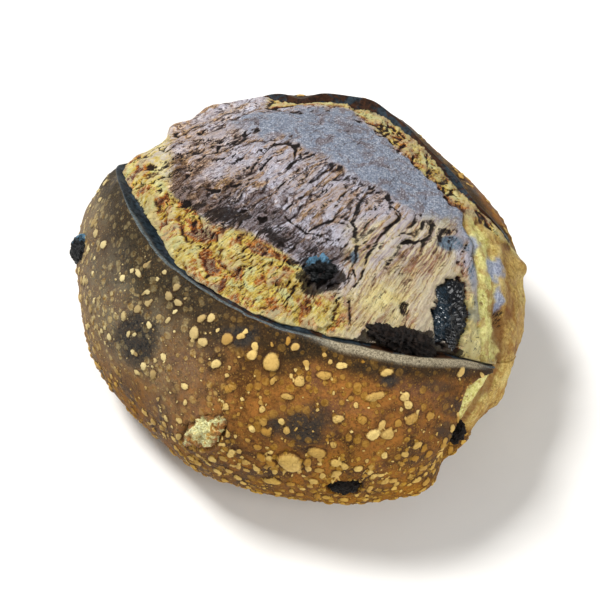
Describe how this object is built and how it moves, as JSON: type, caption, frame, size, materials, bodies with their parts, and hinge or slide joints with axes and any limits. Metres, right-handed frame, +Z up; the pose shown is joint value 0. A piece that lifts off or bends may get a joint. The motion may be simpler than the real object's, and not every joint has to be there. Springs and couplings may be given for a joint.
{
  "type": "blue cheese and plum loaf",
  "caption": "Round hearth loaf with a long curved score sprung open into an ear, torn crumb inside it, and burnt plums and melted blue cheese breaking through the crust.",
  "frame": {"origin": "under the middle of the loaf, on the surface it stands on", "axes": "+Z up, +X to the right along the score, +Y to the back, away from the ear"},
  "size_m": [0.2287, 0.2266, 0.1177],
  "materials": {
    "crust": "browned crust, mahogany to golden, dusted with flour and pale blisters",
    "crumb": "torn toasted crumb, golden with brown and dark scorched strands",
    "plum": "burnt plum, blue-black and partly glossy",
    "cheese": "melted blue cheese, pale green and satin"
  },
  "bodies": {
    "root": {"loaf": "crust", "plum_crown": "plum", "plum_pocket": "plum", "plum_seam": "plum", "plum_side": "plum", "plum_front": "plum", "plum_notch": "plum", "cheese_pocket": "cheese"}
  },
  "joints": []
}
